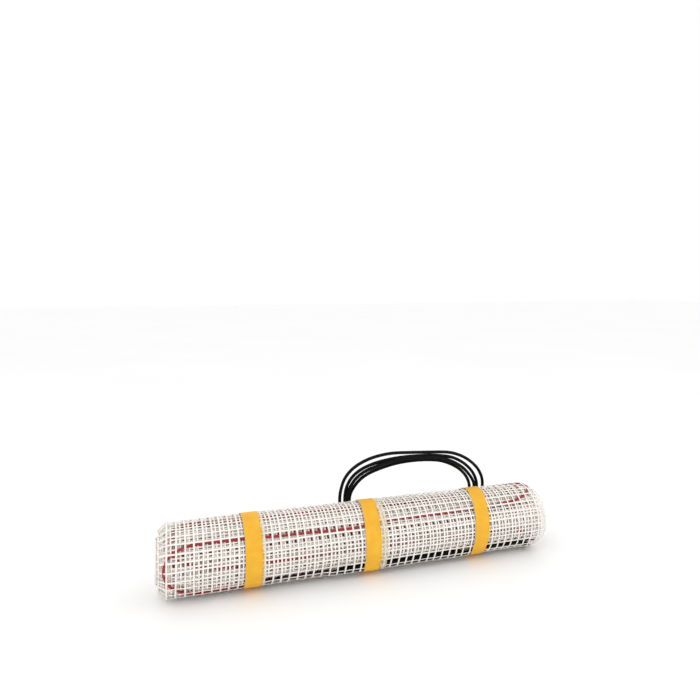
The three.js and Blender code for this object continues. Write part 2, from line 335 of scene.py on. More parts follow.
def sweep(name, paths, section, material):
    """Paths are (points, outward directions) pairs in mm, and the section is (across, outward) pairs."""
    vertices, faces, uvs = [], [], []
    count = len(section)
    offset = 0
    across = np.linspace(0, 1, count + 1)
    for points, outward in paths:
        tangent = unit(np.gradient(points, axis=0))
        side = unit(np.cross(tangent, outward))
        up = np.cross(side, tangent)
        broad = section[None, :, 0:1] * side[:, None, :]
        thick = section[None, :, 1:2] * up[:, None, :]
        rings = points[:, None, :] + broad + thick
        length = np.concatenate([[0], np.cumsum(np.linalg.norm(np.diff(points, axis=0), axis=1))])
        vertices.append(rings.reshape(-1, 3))
        ring, corner = np.meshgrid(np.arange(len(points) - 1), np.arange(count), indexing="ij")
        following = (corner + 1) % count
        this_ring, next_ring = ring * count, (ring + 1) * count
        quads = np.stack(
            [this_ring + corner, this_ring + following, next_ring + following, next_ring + corner], -1
        )
        faces.extend((quads.reshape(-1, 4) + offset).tolist())
        u0, u1, v0, v1 = across[corner], across[corner + 1], length[ring], length[ring + 1]
        uvs.append(np.stack([u0, v0, u1, v0, u1, v1, u0, v1], -1).reshape(-1, 2))
        first = np.arange(count)[::-1] + offset
        last = np.arange(count) + offset + (len(points) - 1) * count
        faces.extend([first.tolist(), last.tolist()])
        uvs.append(np.zeros((2 * count, 2)))
        offset += rings.shape[0] * count
    return add_mesh(name, np.concatenate(vertices) * MM, faces, np.concatenate(uvs), material)


# %% [markdown]
# Cords next, because their room decides whether the model holds. The lead leaves the mesh low behind the
# roll, drops to the floor, and runs into a loose coil that stands behind the roll and leans on it. The
# coil's four turns are drawn one by one, because a coil wound by hand is never four copies of one loop: the
# outermost turn stands clear at the right, and the inner three share a bundle. Behind the roll the turns
# run together through the tie and each one changes places with the next.

# %% The cold lead's route
LEAD_DIAMETER = 4.4
LEAD_SIDES = 14
LEAD_EXIT = (133.433, 29.577, 16.169)
LEAD_ROUTE = [
    LEAD_EXIT, (122, 30.8, 14.9), (110, 34, 11.8), (98, 38.6, 8.2), (86, 43.4, 5.2), (74, 47.2, 3.2),
    (62, 49.8, 2.6),
]
COIL_LEAN = math.radians(12)
COIL_CENTRE_X = 95
COIL_DEPTH = 10
COIL_LIFT = 2.19
COIL_GAP = 0.3
TAPE_OUTER = ROLL_RADIUS + 1.2
COIL_REACH = TAPE_OUTER + COIL_GAP + COIL_DEPTH / 2
COIL_BASE_Y = (COIL_REACH + (AXIS_HEIGHT - COIL_LIFT) * math.sin(COIL_LEAN)) / math.cos(COIL_LEAN)


def on_coil(across, up, back):
    """A place in the coil: across and up in its leaning plane, and back through it."""
    lean_sin, lean_cos = math.sin(COIL_LEAN), math.cos(COIL_LEAN)
    return (
        COIL_CENTRE_X + across,
        COIL_BASE_Y - up * lean_sin + back * lean_cos,
        COIL_LIFT + up * lean_cos + back * lean_sin,
    )


# Each turn's arch over the roll from left to right, in the coil's plane, and its place back through it.
FRONT_TURN = (-2.6, [
    (-100.2, 81.8), (-96.6, 94.0), (-90.0, 104.9), (-78.6, 113.7), (-60.4, 120.4), (-40.5, 125.3),
    (-15.6, 127.5), (14.6, 126.0), (38.0, 122.5), (59.2, 113.1), (74.0, 102.4), (83.9, 91.0), (92.5, 76.9),
])
INNER_TURN = (0.8, [
    (-95.5, 80.1), (-90.1, 91.2), (-82.0, 101.6), (-69.2, 109.4), (-51.5, 115.3), (-31.3, 119.8),
    (-7.6, 121.5), (19.8, 120.2), (38.6, 116.7), (58.3, 107.8), (72.2, 97.6), (80.7, 87.3), (86.8, 74.4),
])
BACK_TURN = (0.8, [
    (-102.5, 80.1), (-100.3, 93.9), (-94.8, 105.0), (-84.1, 114.6), (-66.5, 122.0), (-48.0, 126.0),
    (-26.1, 128.2), (0.8, 128.1), (28.4, 126.1), (50.6, 122.0), (67.1, 114.4), (82.8, 102.1), (91.5, 91.5),
    (96.1, 82.5), (99.0, 74.2),
])
OUTER_TURN = (-1.0, [
    (-110.3, 79.1), (-109.0, 90.8), (-106.1, 103.7), (-97.2, 116.8), (-84.6, 125.8), (-67.9, 132.5),
    (-42.2, 136.5), (-12.6, 135.1), (17.7, 132.9), (47.3, 130.0), (65.2, 123.9), (82.2, 113.6),
    (96.7, 99.5), (104.5, 85.7), (107.1, 74.3),
])
# Where each pass lies in the bundle at the floor: up, and back.
FLOOR_PLACES = [(2.3, 2.3), (2.3, -2.3), (6.8, -2.3)]
LEAD_IN = [
    (-50, 1.8, -8.2), (-64, 3.6, -7.2), (-78, 10, -5.6), (-90, 24, -3.6), (-97, 42, -2.5), (-100, 60, -2.4),
]
LEAD_TAIL = [
    (104.0, 50, -0.6), (92, 28, 0.6), (74, 14, 1.6), (48, 8.4, 2.3), (20, 6.8, 2.3), (-4, 7.8, 3.2),
    (-26, 9.4, 6.2), (-44, 11.4, 8.2), (-60, 14.4, 9.0),
]
BEND_POWER = 0.8


def floor_pass(here, after, floor_place):
    """The hidden lower half of a turn, from the right end of one arch to the left end of the next."""
    (right_back, right_arch), (left_back, left_arch) = here, after
    (right, right_up), (left, left_up) = right_arch[-1], left_arch[0]
    up, back = floor_place
    points = []
    for degrees in range(20, 180, 20):
        c, s = math.cos(math.radians(degrees)), math.sin(math.radians(degrees))
        share = (1 - c) / 2
        across = (right + left) / 2 + (right - left) / 2 * math.copysign(abs(c) ** BEND_POWER, c)
        side_up = right_up + (left_up - right_up) * share
        side_back = right_back + (left_back - right_back) * share
        drop = s ** BEND_POWER
        lowered, pushed = side_up + (up - side_up) * drop, side_back + (back - side_back) * drop
        points.append(on_coil(across, lowered, pushed))
    return points


def arch(turn):
    back, points = turn
    return [on_coil(across, up, back) for across, up in points]


TURNS = [FRONT_TURN, INNER_TURN, BACK_TURN, OUTER_TURN]
lead_points = LEAD_ROUTE + [on_coil(*point) for point in LEAD_IN] + arch(TURNS[0])
for here, after, floor_place in zip(TURNS, TURNS[1:], FLOOR_PLACES):
    lead_points += floor_pass(here, after, floor_place) + arch(after)
lead_points += [on_coil(*point) for point in LEAD_TAIL]


def smooth_path(control, step, ease=0):
    """A centripetal Catmull-Rom curve through the points, cut into even steps and eased.

    Easing takes out the small kinks that a stiff cable wouldn't have.
    """
    control = np.array(control, float)
    ends = np.concatenate([[2 * control[0] - control[1]], control, [2 * control[-1] - control[-2]]])
    pieces = []
    for p0, p1, p2, p3 in zip(ends, ends[1:], ends[2:], ends[3:]):
        t0 = 0.0
        t1 = t0 + math.sqrt(np.linalg.norm(p1 - p0))
        t2 = t1 + math.sqrt(np.linalg.norm(p2 - p1))
        t3 = t2 + math.sqrt(np.linalg.norm(p3 - p2))
        t = np.linspace(t1, t2, 12, endpoint=False)[:, None]
        a1 = (t1 - t) / (t1 - t0) * p0 + (t - t0) / (t1 - t0) * p1
        a2 = (t2 - t) / (t2 - t1) * p1 + (t - t1) / (t2 - t1) * p2
        a3 = (t3 - t) / (t3 - t2) * p2 + (t - t2) / (t3 - t2) * p3
        b1 = (t2 - t) / (t2 - t0) * a1 + (t - t0) / (t2 - t0) * a2
        b2 = (t3 - t) / (t3 - t1) * a2 + (t - t1) / (t3 - t1) * a3
        pieces.append((t2 - t) / (t2 - t1) * b1 + (t - t1) / (t2 - t1) * b2)
    dense = np.concatenate(pieces + [control[-1:]])
    length = np.concatenate([[0], np.cumsum(np.linalg.norm(np.diff(dense, axis=0), axis=1))])
    stations = np.linspace(0, length[-1], max(int(length[-1] / step), 4) + 1)
    points = np.stack([np.interp(stations, length, dense[:, axis]) for axis in range(3)], -1)
    for _ in range(ease):
        points[1:-1] = (points[:-2] + 2 * points[1:-1] + points[2:]) / 4
    return points, float(np.linalg.norm(np.diff(points, axis=0), axis=1).sum())


def carried(points):
    """Outward directions that turn as little as possible along a path, for a round section."""
    tangent = unit(np.gradient(points, axis=0))
    direction = np.cross(tangent[0], (0.3, 0.2, 0.93))
    directions = []
    for t in tangent:
        direction = direction - t * (direction @ t)
        direction = direction / np.linalg.norm(direction)
        directions.append(direction)
    return np.array(directions)


def add_cord(name, control, diameter, step, sides, material, ease=0):
    """A cable through the control points. Its middle line and length come back with the piece."""
    points, length = smooth_path(control, step, ease)
    piece = sweep(name, [(points, carried(points))], round_section(diameter, sides), material)
    return piece, points, length


cold_lead, lead_line, lead_length = add_cord(
    "cold_lead_cable", lead_points, LEAD_DIAMETER, 4, LEAD_SIDES, black_sheath, ease=4
)
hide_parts("cold_lead", "cold_lead_coil")
print(f"free lead {lead_length / 1000:.3f} m, {len(lead_points)} control points")

# %% [markdown]
# The mat's own surface is a spiral. A tight roll isn't an even spiral, though: each turn lies on the one
# below as a near circle and only drops to the next level where the free edge ends. So the radius stays
# level round the front and top and falls in a short ramp behind. The mat slips a few millimetres sideways
# from turn to turn, which is why the squares of two turns never line up. The drawn-in ends are a scale
# on the radius, and slow noise keeps the surface from looking machined.

# %% The spiral of the mat
MESH_OUTER = ROLL_RADIUS + 0.4
TURN_PITCH = 2.6
TURN_COUNT = 12
FREE_EDGE = -145.0
RAMP_SHARE = 65 / 360
LEFT_TAPER = (9.0, 0.2)
RIGHT_TAPER = (8.0, 0.07)
SLIP = [0.0, 5.0, 2.6, 0.8, 4.2, -2.4, 2.4, -1.0, 3.6, 1.2, -1.0, 2.0, 0.0]


def smooth(value):
    value = np.clip(value, 0, 1)
    return value * value * (3 - 2 * value)


def by_turn(values, phi):
    """A value that each turn has for itself, blended in the ramp between two turns."""
    turn, share = np.divmod(np.clip((phi - FREE_EDGE) / 360, 0, TURN_COUNT - 1e-6), 1)
    turn = turn.astype(int)
    values = np.array(values, float)
    return values[turn] + (values[turn + 1] - values[turn]) * smooth((share - 1 + RAMP_SHARE) / RAMP_SHARE)


def sheet_radius(phi):
    return MESH_OUTER - TURN_PITCH * by_turn(np.arange(TURN_COUNT + 1), phi)


def length_along(radius):
    """The mat's length from its free edge to each angle of the table, for the radius at those angles."""
    return np.concatenate([[0], np.cumsum(np.radians(np.diff(dense_phi)) * radius[1:])])


dense_phi = np.linspace(FREE_EDGE, FREE_EDGE + 360 * TURN_COUNT, 360 * TURN_COUNT + 1)
even_length = length_along(sheet_radius(dense_phi))
MAT_LENGTH = even_length[-1]
print(f"the mat is {MAT_LENGTH / 1000:.2f} m long, wound in {TURN_COUNT} turns")

# %% [markdown]
# Where the cable goes is settled before the surface, because the cable shapes the roll. A place on the mat
# is written as s, in millimetres from the left edge, and an angle round the spiral that keeps counting up
# from turn to turn. The parts of the cable that show at the front are laid point by point as in the
# photograph: first the outer turn's loop, later the second turn's. The rest are even runs with half circles
# between.

# %% The cable's track over the mat
CABLE_DIAMETER = 3.0
CABLE_EDGE = 9.0
RUN_STEP = 53.0
JOINT_START = (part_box("cable_joint")[0].x / MM) + MAT_WIDTH / 2
JOINT_END = (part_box("cable_joint")[1].x / MM) + MAT_WIDTH / 2
# Two pieces of one cable end this far from each other.
END_GAP = 0.3
FIRST_LAID = [
    (JOINT_START - END_GAP, -46.5), (114, -50), (106, -57), (96, -62), (80, -65), (60, -66), (45, -62),
    (33, -50), (22, -35.5), (14, -24.6), (8, -13), (4.8, 0), (4.8, 12), (7.5, 20.8), (12, 27.5), (20, 36.5),
    (30, 40), (40, 42), (70, 42.4), (96, 42.2), (115, 40), (130, 38.4), (150, 37.9), (180, 36.8),
    (240, 35.7), (258, 39), (276, 42), (301, 42.2), (351, 42.7), (391, 43.8), (421, 44.4), (441, 45.4),
    (455, 47), (466, 50), (478, 56), (488, 64.5), (494, 72), (497, 82), (496.5, 94), (492, 105), (483, 115),
    (468, 123), (450, 127),
]
SECOND_LAID = [
    (440, 352.5), (420, 353.7), (394, 355), (372, 357.2), (342, 360.6), (201, 360.6), (151, 357.7),
    (121, 357.7), (95, 360), (50, 360.5), (33, 369.6), (22, 375), (16, 379), (12, 386.3), (8.6, 396.3),
    (8.6, 431), (11, 440), (15, 448), (25, 450.5), (40, 449), (101, 443), (202, 440), (380, 437.4),
]
BACK_RUNS = (127.0, 245.0, 352.0)
LAID_RUNS = 6
LAST_RUN_ROOM = 25.0
CABLE_DEPTH = 2
TRACK_STEP = 6.0


def turned_back(here, after, at_left):
    """The half circle that joins two runs near one edge of the mat."""
    radius = float(sheet_radius(np.array((here + after) / 2)) - CABLE_DEPTH)
    reach = math.radians((after - here) / 2) * radius
    middle = CABLE_EDGE + reach if at_left else MAT_WIDTH - CABLE_EDGE - reach
    stations = []
    for turn in np.pi * np.arange(13) / 12:
        out = -reach * math.sin(turn) if at_left else reach * math.sin(turn)
        stations.append((middle + out, (here + after) / 2 - (after - here) / 2 * math.cos(turn)))
    return stations


def even_steps(stations, step, ease=4):
    """Stations at an even step along a laid path, with its corners eased."""
    track = np.array(stations, float)
    arc = np.radians(np.diff(track[:, 1])) * (sheet_radius(track[1:, 1]) - CABLE_DEPTH)
    along = np.concatenate([[0], np.cumsum(np.hypot(np.diff(track[:, 0]), arc))])
    at = np.linspace(0, along[-1], int(along[-1] / step) + 1)
    track = np.stack([np.interp(at, along, track[:, column]) for column in (0, 1)], -1)
    for _ in range(ease):
        track[1:-1] = (track[:-2] + 2 * track[1:-1] + track[2:]) / 4
    return track


def cable_track():
    """The laid runs first, then even runs to and fro until the mat ends."""
    hidden = turned_back(*BACK_RUNS[:2], True) + turned_back(*BACK_RUNS[1:], False)
    stations = FIRST_LAID + hidden + SECOND_LAID
    here, at_left, runs = SECOND_LAID[-1][1], False, LAID_RUNS
    length = float(np.interp(here, dense_phi, even_length)) + RUN_STEP
    while length < MAT_LENGTH - LAST_RUN_ROOM:
        after = float(np.interp(length, even_length, dense_phi))
        stations += turned_back(here, after, at_left)
        here, at_left, runs, length = after, not at_left, runs + 1, length + RUN_STEP
    stations.append((MAT_WIDTH / 2, here))
    return even_steps(stations, TRACK_STEP), runs


TRACK, RUN_COUNT = cable_track()
print(f"{RUN_COUNT} cable runs, {len(TRACK)} stations")

# %% [markdown]
# The splice and the lead share the outer turn with the first run. Their track is simple: straight along the
# roll, a half turn near the far end, and back below the roll to the mesh's free edge.

# %% The joint's and the lead's track
SLEEVE_START = 206.0
JOINT_DIAMETER = 8.0
NECK_DIAMETER = 4.4
LEAD_TURN_END = 490.0
LEAD_TURN_RADIUS = 28.0
LEAD_EXIT_S = 384.0
LEAD_EXIT_ANGLE = -138.0
JOINT_LINE = ([122, 200, 214, 384, 402, 500], [-45.5, -45.5, -48, -47.5, -40, -38.5])


def joint_angle(s):
    """The angle of the joint and of the lead beside it, for each place along the roll."""
    return np.interp(s, *JOINT_LINE)


def lead_track():
    """Straight on from the joint, a half turn, and down round the roll to where the lead comes out."""
    swing = math.degrees(LEAD_TURN_RADIUS / (ROLL_RADIUS - LEAD_DIAMETER / 2))
    turn_start = LEAD_TURN_END - LEAD_TURN_RADIUS
    start_angle = float(joint_angle(turn_start))
    stations = [(s, float(joint_angle(s))) for s in np.arange(JOINT_END + END_GAP, turn_start, 8.0)]
    for turn in np.pi * np.arange(17) / 16:
        s = turn_start + LEAD_TURN_RADIUS * math.sin(turn)
        stations.append((s, start_angle - swing + swing * math.cos(turn)))
    turned = start_angle - 2 * swing
    for share in np.linspace(0, 1, 13)[1:]:
        ease = (1 - math.cos(math.pi * share)) / 2
        s = turn_start + (LEAD_EXIT_S - turn_start) * share
        stations.append((s, turned + (LEAD_EXIT_ANGLE - turned) * ease))
    return np.array(stations)


LEAD_STATIONS = lead_track()
print(f"neck from {JOINT_START:.0f}, sleeve from {SLEEVE_START:.0f} to {JOINT_END:.0f} mm")

# %% [markdown]
# Next to a cable two turns of mesh are a cable apart, and elsewhere they sag together until they nearly
# touch. That closeness is what makes such a roll look white: four meshes lie within a few millimetres of
# each other. A table over the mat holds how far each place lies outside the even spiral. It is filled turn
# by turn, because a turn follows the shape of the one outside it, a little less each time.

# %% The sag between the turns
MESH_THICKNESS = 0.9
CLOSEST_TURNS = 1.1
DRAPE_REACH = 8.0
GRID_S = 5.0
HILL_DEGREES = 40
HILL_COLUMNS = 4
HILL_WIDENS = 12
EDGE_OPENING = 0.9
EDGE_REACH = 45
BULGE_SHARE = 0.45
LEAD_LEAVES = -125
SAG_WEIGHT = [0, 1, 1, 1, 1, 0.8, 0.5, 0.2, 0, 0, 0, 0, 0]
SAG_KEPT = [0, 1, 1, 1, 0.95, 0.9, 0.8, 0.7, 0.6, 0.5, 0.4, 0.2, 0]
SWAY_OUT = 0.25
SWAY_ALONG = 0.5
grid_s = np.arange(0, MAT_WIDTH + 1, GRID_S)


def spread(table, stations, heights):
    """Raises the table to a soft hill of each height round each station."""
    for (s, phi), height in zip(stations, heights):
        row, column = int(round(phi - FREE_EDGE)), int(round(s / GRID_S))
        rows = slice(max(row - HILL_DEGREES, 0), row + HILL_DEGREES + 1)
        columns = slice(max(column - HILL_COLUMNS, 0), column + HILL_COLUMNS + 1)
        arc = np.radians(dense_phi[rows] - phi) * sheet_radius(dense_phi[rows])
        square = arc[:, None] ** 2 + (grid_s[None, columns] - s) ** 2
        hill = height * np.exp(-square / (DRAPE_REACH * (1 + height / HILL_WIDENS)) ** 2)
        table[rows, columns] = np.maximum(table[rows, columns], hill)


def sag_table():
    """How far each place of the mat lies outside the even spiral, one row a degree."""
    joint_s = np.arange(JOINT_START, JOINT_END, GRID_S)
    joint_stations = np.stack([joint_s, joint_angle(joint_s)], -1)
    joint_size = np.where(joint_s < SLEEVE_START, NECK_DIAMETER, JOINT_DIAMETER)
    hidden_lead = LEAD_STATIONS[LEAD_STATIONS[:, 1] > LEAD_LEAVES]
    laid = [
        (TRACK, np.full(len(TRACK), CABLE_DIAMETER)),
        (joint_stations, joint_size),
        (hidden_lead, np.full(len(hidden_lead), LEAD_DIAMETER)),
    ]
    apart = np.zeros((len(dense_phi), len(grid_s)))
    sag = np.zeros_like(apart)
    to_edge = np.minimum(grid_s, MAT_WIDTH - grid_s)
    closest = CLOSEST_TURNS + EDGE_OPENING * smooth(1 - to_edge / EDGE_REACH)
    for stations, size in laid:
        spread(apart, stations, size + MESH_THICKNESS - CLOSEST_TURNS)
    for stations, size in laid[1:]:
        spread(sag, stations, BULGE_SHARE * (size - CABLE_DIAMETER))
    weight, kept = by_turn(SAG_WEIGHT, dense_phi), by_turn(SAG_KEPT, dense_phi)
    for row in range(len(dense_phi)):
        outside = max(row - 360, 0)
        closing = TURN_PITCH - np.maximum(closest, apart[outside] + CLOSEST_TURNS)
        sag[row] += kept[row] * sag[outside] + weight[row] * closing
    return sag


SAG = sag_table()


def sag_at(s, phi):
    """The table read between its rows and columns."""
    row = np.clip(phi - FREE_EDGE, 0, len(dense_phi) - 1.001)
    column = np.clip(s / GRID_S, 0, len(grid_s) - 1.001)
    r, c = row.astype(int), column.astype(int)
    down, right = row - r, column - c
    return (SAG[r, c] * (1 - right) + SAG[r, c + 1] * right) * (1 - down) + (
        SAG[r + 1, c] * (1 - right) + SAG[r + 1, c + 1] * right) * down


def ripple(s, phi, seed):
    """Slow, repeatable noise between about -1 and 1 over the mat."""
    a = np.radians(phi)
    return (
        np.sin(s / 37.0 + 1.7 * a + seed * 2.1) + np.sin(s / 61.0 - 2.3 * a + seed * 4.7)
        + 0.6 * np.sin(s / 17.0 + 3.1 * a + seed) + 0.5 * np.sin(5.0 * a - s / 29.0 + seed * 0.7)
    ) / 2.4


def end_scale(s):
    """How the roll draws in at its two ends."""
    left = LEFT_TAPER[1] * smooth(1 - s / LEFT_TAPER[0])
    right = RIGHT_TAPER[1] * smooth(1 - (MAT_WIDTH - s) / RIGHT_TAPER[0])
    return 1 - left - right


def place(s, phi, depth=0.0):
    """The point at s along the roll, phi degrees round the spiral and a depth below the mesh's face."""
    s, phi, depth = np.broadcast_arrays(*(np.asarray(value, float) for value in (s, phi, depth)))
    radius = (sheet_radius(phi) + sag_at(s, phi) - depth + SWAY_OUT * ripple(s, phi, 1)) * end_scale(s)
    angle = np.radians(phi)
    x = s - MAT_WIDTH / 2 + by_turn(SLIP, phi) + SWAY_ALONG * ripple(s, phi, 2)
    return np.stack([x, -radius * np.cos(angle), AXIS_HEIGHT + radius * np.sin(angle)], -1)


def outward(phi):
    """The direction away from the roll's axis."""
    angle = np.radians(phi)
    return np.stack([0 * angle, -np.cos(angle), np.sin(angle)], -1)


mat_length = length_along(sheet_radius(dense_phi) + SAG.mean(axis=1))


def length_at(phi):
    return float(np.interp(phi, dense_phi, mat_length))


def phi_at(length):
    """The spiral's angle at a length along the mat from its free edge."""
    return np.interp(length, mat_length, dense_phi)


print(f"mat {mat_length[-1] / 1000:.2f} m long, sag from {SAG.min():.1f} to {SAG.max():.1f} mm")

# %% [markdown]
# The mesh has a square of about 10 mm, with flat yarns 2 mm broad both ways. At each crossing one goes over
# and the other under, which is a small wave in the depth, opposite for neighbours. The rows are spaced so
# that the second turn's squares fall half a square off the first's, as they do over the whole front of the
# real roll. Winding spreads the rows by a few degrees above and below the middle of the front. The inner
# turns are only seen through the outer ones and take longer steps.

# %% The mesh yarns
SQUARE = 10.0
COUNTED_FROM = 27
ROWS_A_TURN = 26.5
ROW_SPACING = (length_at(COUNTED_FROM + 360) - length_at(COUNTED_FROM)) / ROWS_A_TURN
YARN_SEEN_AT = 43
FIRST_ROW = length_at(YARN_SEEN_AT) % ROW_SPACING
ROUND_YARN = (2.2, 0.45)
LONG_YARN = (2.1, 0.42)
WEAVE = 0.16
ROUND_DEPTH = 0.25
LONG_DEPTH = 0.45
STRETCH = 6.0
FRONT_MIDDLE = 20
RIM_MARGIN = 1.2
OUTER_PART = length_at(FREE_EDGE + 360 * 3.4)


def round_yarns(lengths):
    """The yarns that run round the roll, one for each square along it."""
    phi = phi_at(lengths)
    paths = []
    for index in range(int(MAT_WIDTH / SQUARE) + 1):
        s = np.clip(index * SQUARE, RIM_MARGIN, MAT_WIDTH - RIM_MARGIN)
        wave = WEAVE * np.cos(np.pi * (lengths - FIRST_ROW) / ROW_SPACING + np.pi * index)
        drift = 0.35 * np.sin(lengths / 43.0 + index * 1.9)
        paths.append((place(s + drift, phi, ROUND_DEPTH + wave), outward(phi)))
    return paths


def long_yarns(low, high, step):
    """The yarns that run along the roll, one for each row between two lengths of the mat."""
    s = np.arange(0, MAT_WIDTH + 1, step)
    paths = []
    first, last = (math.ceil((length - FIRST_ROW) / ROW_SPACING) for length in (low, high))
    for index in range(first, last):
        length = index * ROW_SPACING + FIRST_ROW
        bow = 0.5 * np.sin(s / 83.0 + index * 2.3) + 0.3 * np.sin(s / 31.0 + index * 1.1)
        phi = phi_at(np.clip(length + bow, 0, mat_length[-1]))
        sine = np.sin(np.radians(phi - FRONT_MIDDLE))
        phi = phi + STRETCH * sine * np.abs(sine)
        wave = -WEAVE * np.cos(np.pi * s / SQUARE + np.pi * index)
        paths.append((place(s, phi, LONG_DEPTH + wave), outward(phi)))
    return paths


outer_lengths = np.linspace(0, OUTER_PART, int(OUTER_PART / 5))
inner_lengths = np.linspace(OUTER_PART, mat_length[-1], int((mat_length[-1] - OUTER_PART) / 8))
for part, paths, size in (
    ("round_outer", round_yarns(outer_lengths), ROUND_YARN),
    ("round_inner", round_yarns(inner_lengths), ROUND_YARN),
    ("long_outer", long_yarns(0, OUTER_PART, 5.0), LONG_YARN),
    ("long_inner", long_yarns(OUTER_PART, mat_length[-1], 10.0), LONG_YARN),
):
    yarns = sweep(f"mesh_yarns_{part}", paths, flat_section(*size), coated_glass)
    print(yarns.name, len(yarns.data.polygons), "faces")
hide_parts("mat_roll")
print(f"squares {SQUARE:.1f} by {ROW_SPACING:.2f} mm")

# %% [markdown]
# The heating cable lies on the inner face of the mesh along its track, with a little sway of its own,
# because a cable held by stitches is never quite straight.

# %% The heating cable
def cable_path():
    s, phi = TRACK[:, 0], TRACK[:, 1]
    sway = 0.4 * np.sin(s / 23.0 + phi / 40) + 0.3 * np.sin(s / 9.0 + phi / 25)
    return place(s, phi + sway, MESH_THICKNESS + CABLE_DIAMETER / 2), outward(phi)


cable_line, cable_outward = cable_path()
cable = sweep(
    "heating_cable_run", [(cable_line, cable_outward)], round_section(CABLE_DIAMETER, 10), red_sheath
)
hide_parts("heating_cable")
print(f"heating cable {np.linalg.norm(np.diff(cable_line, axis=0), axis=1).sum() / 1000:.1f} m")

# %% [markdown]
# At the joint the red cable goes into a thin shrunk neck, whose dark red-brown is partly the red showing
# through and partly painted shade, and then into the thick sleeve over the crimps. Each ring of the sweep
# is scaled by its own growth, which rounds the shoulders and lets the crimps show as faint waves. From
# there the black lead runs on under the outer mesh.

# %% The joint and the lead under the mesh
JOINT_SIDES = 16
JOINT_RINGS = 60
SHOULDER = 14
CRIMP_RELIEF = 0.06
CRIMP_LENGTH = 7.5
NECK_NARROW = 0.76
NECK_FLARE = 6
NECK_TUCK = 0.5
LEAD_RISES = -112
LEAD_RISE_OVER = 26


def swell(piece, path, growth, sides):
    """Scales each ring of a swept piece about the path by its growth."""
    co = np.zeros(len(piece.data.vertices) * 3)
    piece.data.vertices.foreach_get("co", co)
    rings = co.reshape(len(path), sides, 3)
    centre = path[:, None, :] * MM
    rings = centre + (rings - centre) * growth[:, None, None]
    piece.data.vertices.foreach_set("co", rings.ravel())
    piece.data.update()


def joint_piece(name, low, high, diameter, depth, growth, material):
    """A round piece along the joint's track, from one place along the roll to another."""
    s = np.linspace(low, high, JOINT_RINGS)
    path = place(s, joint_angle(s), depth(s))
    piece = sweep(name, [(path, outward(joint_angle(s)))], round_section(diameter, JOINT_SIDES), material)
    swell(piece, path, growth(s), JOINT_SIDES)
    return piece


def sleeve_share(s):
    """From 0 at both ends of the sleeve to 1 on its full width."""
    return smooth((s - SLEEVE_START) / SHOULDER) * smooth((JOINT_END - s) / SHOULDER)


def sleeve_depth(s):
    return MESH_THICKNESS + NECK_DIAMETER / 2 + (JOINT_DIAMETER - NECK_DIAMETER) / 2 * sleeve_share(s)


def sleeve_growth(s):
    ends = NECK_DIAMETER / JOINT_DIAMETER
    crimps = 1 - CRIMP_RELIEF * (1 + np.sin(s / CRIMP_LENGTH)) / 2
    return ends + (1 - ends) * sleeve_share(s) * crimps


def neck_growth(s):
    return NECK_NARROW + (1 - NECK_NARROW) * smooth((s - JOINT_START) / NECK_FLARE)


joint_piece(
    "joint_neck", JOINT_START, SLEEVE_START + NECK_TUCK, NECK_DIAMETER,
    sleeve_depth, neck_growth, neck_tint_and_painted_shade,
)
sleeve = joint_piece(
    "joint_sleeve", SLEEVE_START, JOINT_END, JOINT_DIAMETER, sleeve_depth, sleeve_growth, shrink_sleeve
)
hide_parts("cable_joint")

lead_out = smooth((LEAD_RISES - LEAD_STATIONS[:, 1]) / LEAD_RISE_OVER)
lead_depth = MESH_THICKNESS + LEAD_DIAMETER / 2 - lead_out
hidden_points = place(LEAD_STATIONS[:, 0], LEAD_STATIONS[:, 1], lead_depth)
hidden_points[-1] = (LEAD_EXIT[0] + END_GAP, LEAD_EXIT[1], LEAD_EXIT[2])
hidden_path, hidden_length = smooth_path(hidden_points, 5)
lead_hidden = sweep(
    "lead_under_outer_mesh", [(hidden_path, carried(hidden_path))],
    round_section(LEAD_DIAMETER, LEAD_SIDES), black_sheath,
)
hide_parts("lead_under_mesh")
print(f"joint {JOINT_END - JOINT_START:.0f} mm, lead under the mesh {hidden_length / 1000:.2f} m")

# %% [markdown]
# The tape bands are thin sheets pulled tight round the roll. They are built as a closed strip: an outer and
# an inner face joined at the rims, on a fine grid, so that the mesh below can print through as a real
# relief of about a tenth of a millimetre. Each band laps over itself behind the roll, with one free end,
# and the middle and right ones were put on a little aslant.

# %% The tape bands
TAPE_LAP = (150.0, 205.0)
LAP_GAP = 0.15
LAP_RISES = 6
LAP_RISE_OVER = 8
BAND_STEPS = 220
BAND_ROWS = 14
PULLED_TO = 100
TAPE_SWAY_OUT = 0.1
FILM_ASIDE = 0.4


def band_faces():
    """The quads of a closed strip: the outer face, the inner face, the two rims and the two ends."""
    index = np.arange(BAND_STEPS * BAND_ROWS).reshape(BAND_STEPS, BAND_ROWS)
    under = index + BAND_STEPS * BAND_ROWS
    outer = [index[:-1, :-1], index[:-1, 1:], index[1:, 1:], index[1:, :-1]]
    inner = [under[:-1, :-1], under[1:, :-1], under[1:, 1:], under[:-1, 1:]]
    quads = [np.stack(face, -1).reshape(-1, 4) for face in (outer, inner)]
    for row, flip in ((0, False), (BAND_ROWS - 1, True)):
        rim = [index[:-1, row], index[1:, row], under[1:, row], under[:-1, row]]
        quads.append(np.stack(rim[::-1] if flip else rim, -1))
    for row, flip in ((0, True), (BAND_STEPS - 1, False)):
        end = [index[row, :-1], index[row, 1:], under[row, 1:], under[row, :-1]]
        quads.append(np.stack(end[::-1] if flip else end, -1))
    return np.concatenate(quads)


